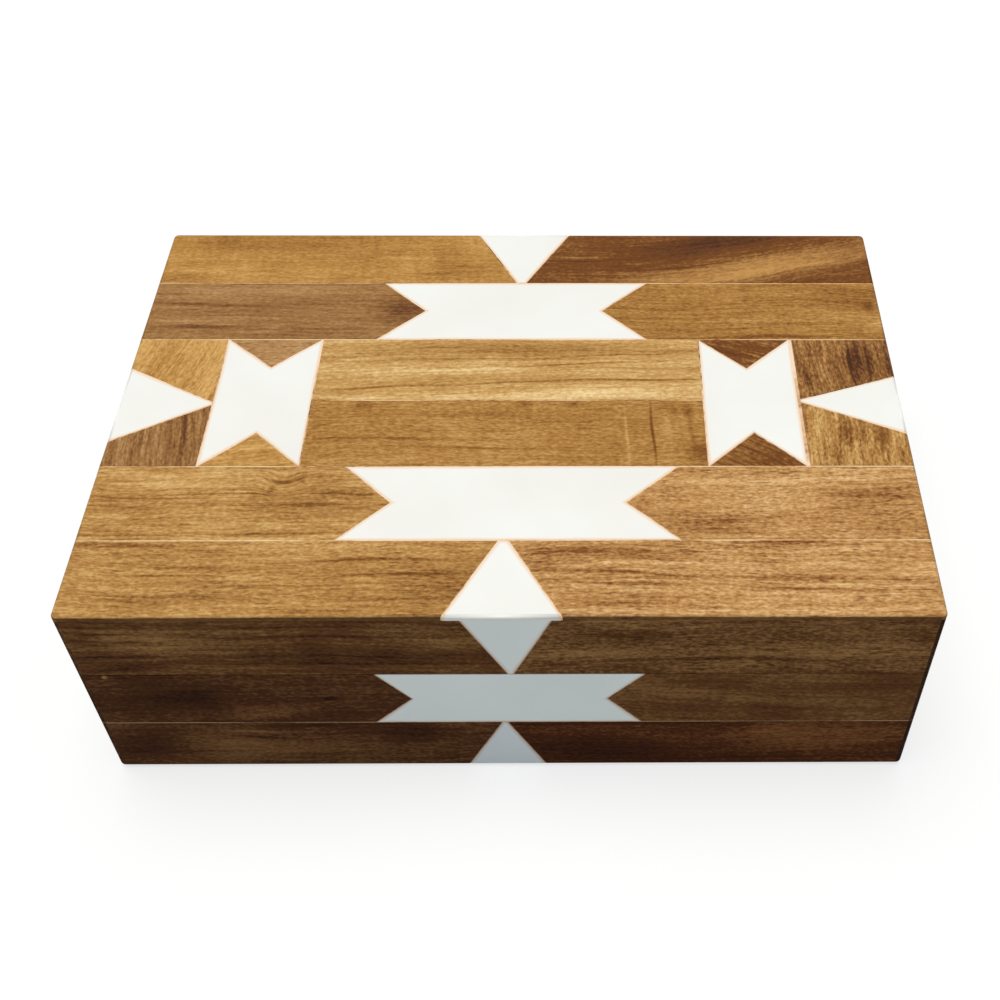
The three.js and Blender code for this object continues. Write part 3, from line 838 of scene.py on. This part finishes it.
def finish_pieces(sheet, strips, body, face, names):
    """Cuts the named pieces of a sheet out of its blank and gives each its finish."""
    for number, name in enumerate(names):
        outline = node_outline(name, face)
        piece = sheet.piece(name + "_finished", outline, inlay=name not in strips)
        tidy_faces(piece)
        if name in strips:
            look = dict(seed=number + 1.0, face=face) | strips[name]
            # The top's strips get painted shade on the edge faces that turn away from the top
            look |= dict(rim=1.0) if face == "z" else dict(specular=SIDE_SPECULAR)
            slot = wood_slot(look["tones"])
            material = wood(name + "_wood", **look)
        else:
            slot = "white_resin"
            tint = resin_tint_and_shade(face, name == "body_front_triangle")
            material = resin(name + "_resin", sheet, outline, number + 1.0, tint)
        dress(piece, material, body, slot, name)


def lay_glue(sheet, name, kinds, body, seed, *nodes):
    net, rings = sheet.glue_lines(name + "_glue_lines")
    if net.data.polygons:
        dress(net, glue(name + "_glue", kinds[0], seed), body, "honey_wood", *nodes)
    else:
        discard(net)
    beside_resin = glue(name + "_inlay_glue", kinds[1], seed)
    for ring in rings:
        dress(ring, beside_resin, body, "pale_wood", *nodes)
    sheet.close()


outsides = {
    "lid": rounded_box(LID_BOTTOM - OVERSHOOT, HIGH, SHARP, TOP_RADIUS),
    "body": rounded_box(BODY_BOTTOM, BODY_TOP + OVERSHOOT, FOOT_RADIUS, SHARP),
}

top_names = [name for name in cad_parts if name.startswith("top_")]
past_x, past_y = WIDE + OVERSHOOT, DEEP + OVERSHOOT
top_block = block((-past_x, -past_y, SHEET_BOTTOM), (past_x, past_y, HIGH + OVERSHOOT))
top_sheet = Sheet("top", "z", top_block, outsides["lid"])
finish_pieces(top_sheet, TOP_STRIPS, "lid", "z", top_names)
lay_glue(top_sheet, "top", ("strips", "resin"), "lid", 4.0)

for body, prefix, low, high in (
        ("lid", "lid_front_", LID_BOTTOM, SHEET_BOTTOM),
        ("body", "body_front_", BODY_BOTTOM - OVERSHOOT, BODY_TOP)):
    names = [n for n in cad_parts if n.startswith(prefix) and not n.endswith(("wall", "rail"))]
    front_block = block((-BOARD_X, -past_y, low), (BOARD_X, -BOARD_Y, high))
    sheet = Sheet(prefix + "sheet", "y", front_block, outsides[body])
    finish_pieces(sheet, FRONT_STRIPS, body, "y", names)
    lay_glue(sheet, body + "_front", ("front", "front_resin"), body, 2.0)


# Back and end sheets, with the same motif as the front

def row(start, end, outer, inner, cuts):
    """Outlines of the pieces of one row, divided by cuts listed from its outer to its inner line."""
    lines = []
    for cut in [[start, start], *cuts, [end, end]]:
        steps = [outer + (inner - outer) * i / (len(cut) - 1) for i in range(len(cut))]
        lines.append([Vector(corner) for corner in zip(cut, steps)])
    return [left + right[::-1] for left, right in zip(lines, lines[1:])]


def triangle_cuts(base, tip):
    return [[-base / 2, -tip / 2], [base / 2, tip / 2]]


def banner_cuts(length, notch):
    return [[-length, notch - length, -length], [length, length - notch, length]]


TRIANGLE_BASE = 26
TRIANGLE_TIP = 1.5
BANNER_NOTCH = 10.5
BANNER_SHARE = 0.32

# Woods of each row: from left to right on the back, and from front to back on the ends
ROW_WOODS = {
    "lid_back": ("brown", "chestnut"),
    "body_back_upper": ("shaded", "brown"),
    "body_back_lower": ("chestnut", "shaded"),
    "lid_left": ("shaded", "brown"),
    "body_left_upper": ("umber", "chestnut"),
    "body_left_lower": ("umber", "shaded"),
    "lid_right": ("shaded", "chestnut"),
    "body_right_upper": ("shaded", "brown"),
    "body_right_lower": ("russet", "shaded"),
}


def motif_sheet(node, body, face, ends):
    """Replaces a plain sheet by wood strips and resin pieces of the same outline."""
    sheet = Sheet(node, face, widened_node(node), outsides[body])
    end = sheet.high[sheet.plane[0]]
    low, high = sheet.low[2], sheet.high[2]
    banner = banner_cuts(end * BANNER_SHARE, BANNER_NOTCH)
    triangle = triangle_cuts(TRIANGLE_BASE, TRIANGLE_TIP)
    side = node.removesuffix("_sheet")
    if body == "lid":
        rows = {side: row(-end, end, high, low, triangle)}
    else:
        rows = {side + "_upper": row(-end, end, high, ROW_LINE, banner),
                side + "_lower": row(-end, end, low, ROW_LINE, triangle)}
    for label, outlines in rows.items():
        woods = iter(ROW_WOODS[label])
        for part, outline in zip(("first_strip", "inlay", "second_strip"), outlines):
            stepped = shifted(outline, lambda a, b: 0.0 if sheet.on_rim(a, b) else -GLUE_LINE / 2)
            name = f"{label}_{part}"
            piece = sheet.piece(name, stepped, inlay=part == "inlay")
            tidy_faces(piece)
            seed = random.uniform(1, 40)
            if part == "inlay":
                tint = resin_tint_and_shade(face, label.endswith("_lower"))
                material = resin(name + "_resin", sheet, stepped, seed, tint)
                dress(piece, material, body, "white_resin", node)
            else:
                tones = next(woods)
                # corner paints shade on the rounded upright corners; ends darkens the end grain, partly
                # as painted shade
                material = wood(
                    name + "_wood", tones, along="x" if face == "y" else "y", face=face, seed=seed,
                    level=random.uniform(-0.05, 0.1), turn=random.uniform(-3, 3), bands=0.5,
                    streaks=random.uniform(0.4, 0.7), grit=random.uniform(0.25, 0.5),
                    pores=random.uniform(0.3, 0.7), ends=ends, corner=0.8, specular=SIDE_SPECULAR)
                dress(piece, material, body, wood_slot(tones), node)
    lay_glue(sheet, side, ("front", "front_resin"), body, random.uniform(1, 40), node)


for body in ("body", "lid"):
    # The end grain is darkened most on the right sheets and least on the left: partly its own tone,
    # partly painted shade
    motif_sheet(f"{body}_back_sheet", body, "y", ends=0.6)
    motif_sheet(f"{body}_left_sheet", body, "x", ends=0.3)
    motif_sheet(f"{body}_right_sheet", body, "x", ends=1.0)
discard(*outsides.values())


# Carcass boards and hinges keep their solids, with softened edges

def soften(node, width):
    """Rounds the sharp edges of a node's solid a little."""
    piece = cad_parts[node]
    weld = piece.modifiers.new("weld", "WELD")
    weld.merge_threshold = WELD * MM
    flat = piece.modifiers.new("flat_faces", "DECIMATE")
    flat.decimate_type = "DISSOLVE"
    flat.angle_limit = math.radians(FLAT_DEGREES)
    bevel = piece.modifiers.new("soft_edges", "BEVEL")
    bevel.width = width * MM
    bevel.segments = 2
    bevel.limit_method = "ANGLE"
    bevel.angle_limit = math.radians(40)


def coat(node, material):
    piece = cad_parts[node]
    piece.data.materials.clear()
    piece.data.materials.append(material)


CARCASS_GRAIN = {
    "base_board": "x", "lid_top_board": "x", "body_front_wall": "x", "body_back_wall": "x",
    "body_left_wall": "y", "body_right_wall": "y", "lid_front_rail": "x", "lid_back_rail": "x",
    "lid_left_rail": "y", "lid_right_rail": "y",
}
CARCASS_LOOK = dict(
    tones="core", bands=0.4, streaks=0.5, fibre=0.6, grit=0.5, pores=0.7, dullness=1.05, specular=0.25)
for number, (node, along) in enumerate(CARCASS_GRAIN.items()):
    coat(node, wood(node + "_wood", along=along, seed=50.0 + number, **CARCASS_LOOK))
    soften(node, 0.3)

hinge_metal = brass()
for side in ("left", "right"):
    for part, width in (("body_leaf", 0.12), ("lid_leaf", 0.12), ("pin", 0.15)):
        coat(f"{side}_hinge_{part}", hinge_metal)
        soften(f"{side}_hinge_{part}", width)


# Screws in the leaves

SCREW_SPACING = 20
SCREW_SETBACK = 4.8
SCREW_RECESS = 0.03
SCREW_HEAD = 1.85
SCREW_SINK = 1.15
SCREW_SHANK = 0.9
SCREW_LENGTH = 8.0
SCREW_SIDES = 16
HEAD_CHAMFER = (0.12, 0.08)
SLOT_WIDTH = 0.45
SLOT_DEPTH = 0.5
THREAD_START = 0.2
THREAD_PITCH = 0.6
THREAD_DEPTH = 0.22
THREAD_RISE = 0.25
THREAD_FROM_TIP = 1.5
TIP_RADIUS = 0.4
TIP_LENGTH = 0.8


def screw_profile():
    """Radius and height of each ring of a screw, from the middle of its head down to its tip."""
    chamfer_in, chamfer_down = HEAD_CHAMFER
    profile = [(0.0, 0.0), (SCREW_HEAD - chamfer_in, 0.0)]
    profile += [(SCREW_HEAD, -chamfer_down), (SCREW_SHANK, -SCREW_SINK)]
    depth = SCREW_SINK + THREAD_START
    while depth < SCREW_LENGTH - THREAD_FROM_TIP:
        profile += [(SCREW_SHANK - THREAD_DEPTH, -depth), (SCREW_SHANK, -depth - THREAD_RISE)]
        depth += THREAD_PITCH
    return profile + [(TIP_RADIUS, -SCREW_LENGTH + TIP_LENGTH), (0.0, -SCREW_LENGTH)]


def screw(name, place, up, body, turn):
    """A countersunk screw with a slot and a pointed thread; its head faces up or down."""
    builder = bmesh.new()
    rings = []
    for radius, height in screw_profile():
        ring = []
        for i in range(SCREW_SIDES if radius else 1):
            angle = 2 * math.pi * i / SCREW_SIDES
            x, y = radius * math.cos(angle), radius * math.sin(angle)
            ring.append(builder.verts.new((x, y, height)))
        rings.append(ring)
    for upper, lower in zip(rings, rings[1:]):
        for i in range(SCREW_SIDES):
            corners = [upper[i % len(upper)], upper[(i + 1) % len(upper)],
                       lower[(i + 1) % len(lower)], lower[i % len(lower)]]
            builder.faces.new(dict.fromkeys(corners))
    bmesh.ops.recalc_face_normals(builder, faces=builder.faces)
    bmesh.ops.scale(builder, vec=[MM] * 3, verts=builder.verts)
    piece = object_from(name, builder)
    reach = SCREW_HEAD + OVERSHOOT
    corner = Vector((reach, SLOT_WIDTH / 2, SLOT_DEPTH))
    slot = object_from("slot", block(-corner, (reach, SLOT_WIDTH / 2, reach)))
    piece.data = boolean(piece, slot, "DIFFERENCE")
    discard(slot)
    flip = Matrix.Identity(4) if up else Matrix.Rotation(math.pi, 4, "X")
    spin = Matrix.Rotation(math.radians(turn), 4, "Z")
    piece.data.transform(Matrix.Translation(Vector(place) * MM) @ flip @ spin)
    dress(piece, hinge_metal, body, "brass")


pin_low, pin_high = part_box("left_hinge_pin")
pin_y = (pin_low.y + pin_high.y) / 2 / MM
for side in ("left", "right"):
    low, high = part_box(f"{side}_hinge_pin")
    middle = (low.x + high.x) / 2 / MM
    for leaf, up, body in (("body_leaf", True, "body"), ("lid_leaf", False, "lid")):
        face_height = BODY_TOP - SCREW_RECESS if up else LID_BOTTOM + SCREW_RECESS
        for place, x in (("left", -SCREW_SPACING / 2), ("right", SCREW_SPACING / 2)):
            spot = (middle + x, pin_y - SCREW_SETBACK, face_height)
            screw(f"{side}_hinge_{leaf}_{place}_screw", spot, up, body, random.uniform(0, 180))


# Felt: floor lining, lid lining and base felt

FELT_STEP = 1.6

# Shares of the thickness: broad dips, small dips, and how much thinner the cut edge is
FELT_DIPS = 0.10
FELT_LINT = 0.05
FELT_EDGE = 0.45

# How far the cut edge wanders
FELT_WANDER = 0.12


def cut_through(builder, point, normal):
    """Divides every face that the plane through the point crosses."""
    parts = builder.verts[:] + builder.edges[:] + builder.faces[:]
    bmesh.ops.bisect_plane(builder, geom=parts, plane_co=point, plane_no=normal)


def felt_sheet(node, body, seed, rough_side):
    """A thin sheet of felt that fills the node's space, with a soft edge and an uneven pile."""
    low, high = (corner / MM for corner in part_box(node))
    centre = (low + high) / 2
    half_height = (low.z + high.z) / 2
    builder = block(low, high)
    cut_through(builder, centre * MM, (0, 0, 1))
    for axis in (0, 1):
        count = int((high[axis] - low[axis]) / FELT_STEP)
        step = (high[axis] - low[axis]) / count
        for i in range(1, count):
            point = triple(0.0, {axis: (low[axis] + step * i) * MM})
            cut_through(builder, point, triple(0.0, {axis: 1.0}))
    thick = high.z - low.z
    for vertex in builder.verts:
        place = vertex.co / MM
        inset = min(place.x - low.x, high.x - place.x, place.y - low.y, high.y - place.y)
        outer = place.z > half_height if rough_side > 0 else place.z < half_height
        if outer:
            pile = FELT_DIPS * thick * (1 + noise.noise(place * 0.12 + Vector((seed, 0, 0))))
            pile += FELT_LINT * thick * (1 + noise.noise(place * 0.6))
            if inset < NEAR:
                pile += FELT_EDGE * thick
            vertex.co.z -= rough_side * pile * MM
        if inset < NEAR:
            wander = FELT_WANDER * (1 + noise.noise(place * 0.25 + Vector((0, seed, 0))))
            for axis in (0, 1):
                if at(place[axis], low[axis]) or at(place[axis], high[axis]):
                    vertex.co[axis] += math.copysign(wander, centre[axis] - place[axis]) * MM
    for face in builder.faces:
        face.smooth = True
    piece = object_from(node + "_cloth", builder)
    dress(piece, felt(node + "_felt", seed), body, "black_felt", node)


felt_sheet("floor_lining", "body", 3.0, 1)
felt_sheet("lid_lining", "lid", 5.0, -1)
felt_sheet("base_felt", "body", 8.0, -1)


# Floor, light and camera

FLOOR_SIZE = 12.0
FLOOR_BOUNCE = (0.5, 0.5, 0.5)
FLOOR_COLOUR = (0.34, 0.34, 0.34)
FLOOR_GLOW = 0.69
WHITE = (1, 1, 1)
SUN_LEVEL = 0.66
SUN_COLOUR = (1.0, 0.955, 0.895)
SUN_SPREAD = 45
SUN_TILT = -6
SKY_LEVEL = 0.38
SKY_COLOUR = (0.87, 1.0, 1.03)


def seen_directly(tree):
    """1 for camera, mirror and see-through rays, which show the white background."""
    path = tree.nodes.new("ShaderNodeLightPath")
    total = path.outputs["Is Camera Ray"]
    for name in ("Is Glossy Ray", "Is Transmission Ray"):
        node = tree.nodes.new("ShaderNodeMath")
        node.operation = "MAXIMUM"
        tree.links.new(total, node.inputs[0])
        tree.links.new(path.outputs[name], node.inputs[1])
        total = node.outputs[0]
    return total


def plain_shader(tree, kind, shade, strength=None):
    node = tree.nodes.new(kind)
    node.inputs["Color"].default_value = (*shade, 1)
    if strength is not None:
        node.inputs["Strength"].default_value = strength
    return node.outputs[0]


def chosen_shader(tree, lighting, shown):
    """One shader to light the object by, and another for what the camera sees."""
    choice = tree.nodes.new("ShaderNodeMixShader")
    for socket, value in zip(choice.inputs, (seen_directly(tree), lighting, shown)):
        tree.links.new(value, socket)
    return choice.outputs[0]


def make_floor():
    builder = bmesh.new()
    bmesh.ops.create_grid(builder, x_segments=1, y_segments=1, size=FLOOR_SIZE)
    floor = object_from("floor", builder)
    material = bpy.data.materials.new("floor_paper")
    material.use_nodes = True
    tree = material.node_tree
    tree.nodes.clear()
    lighting = plain_shader(tree, "ShaderNodeBsdfDiffuse", FLOOR_BOUNCE)
    shown = tree.nodes.new("ShaderNodeAddShader")
    tree.links.new(plain_shader(tree, "ShaderNodeBsdfDiffuse", FLOOR_COLOUR), shown.inputs[0])
    tree.links.new(plain_shader(tree, "ShaderNodeEmission", WHITE, FLOOR_GLOW), shown.inputs[1])
    output = tree.nodes.new("ShaderNodeOutputMaterial")
    tree.links.new(chosen_shader(tree, lighting, shown.outputs[0]), output.inputs["Surface"])
    floor.data.materials.append(material)


def make_world():
    world = bpy.data.worlds.new("studio")
    bpy.context.scene.world = world
    world.use_nodes = True
    tree = world.node_tree
    sky = plain_shader(tree, "ShaderNodeBackground", SKY_COLOUR, SKY_LEVEL)
    white = plain_shader(tree, "ShaderNodeBackground", WHITE, 1.0)
    tree.links.new(chosen_shader(tree, sky, white), tree.nodes["World Output"].inputs["Surface"])


def make_sun():
    data = bpy.data.lights.new("overhead", "SUN")
    data.energy = math.pi * SUN_LEVEL
    data.color = SUN_COLOUR
    data.angle = math.radians(SUN_SPREAD)
    data.specular_factor = 0.4
    lamp = make_object("overhead", data)
    lamp.rotation_euler = (math.radians(SUN_TILT), math.radians(SUN_TILT), 0)


def make_camera():
    data = bpy.data.cameras.new("camera")
    data.lens = CAMERA_LENS
    data.sensor_width = 36
    data.shift_x, data.shift_y = CAMERA_SHIFT
    data.clip_start = 0.01
    camera = make_object("camera", data)
    turn = Matrix.Rotation(math.radians(-CAMERA_YAW), 4, "Z")
    tilt = Matrix.Rotation(math.radians(90 - CAMERA_ELEVATION), 4, "X")
    roll = Matrix.Rotation(math.radians(CAMERA_ROLL), 4, "Z")
    camera.matrix_world = Matrix.Translation(Vector(CAMERA_PLACE) * MM) @ turn @ tilt @ roll
    bpy.context.scene.camera = camera


make_floor()
make_world()
make_sun()
make_camera()
bpy.context.scene.view_settings.view_transform = "Standard"
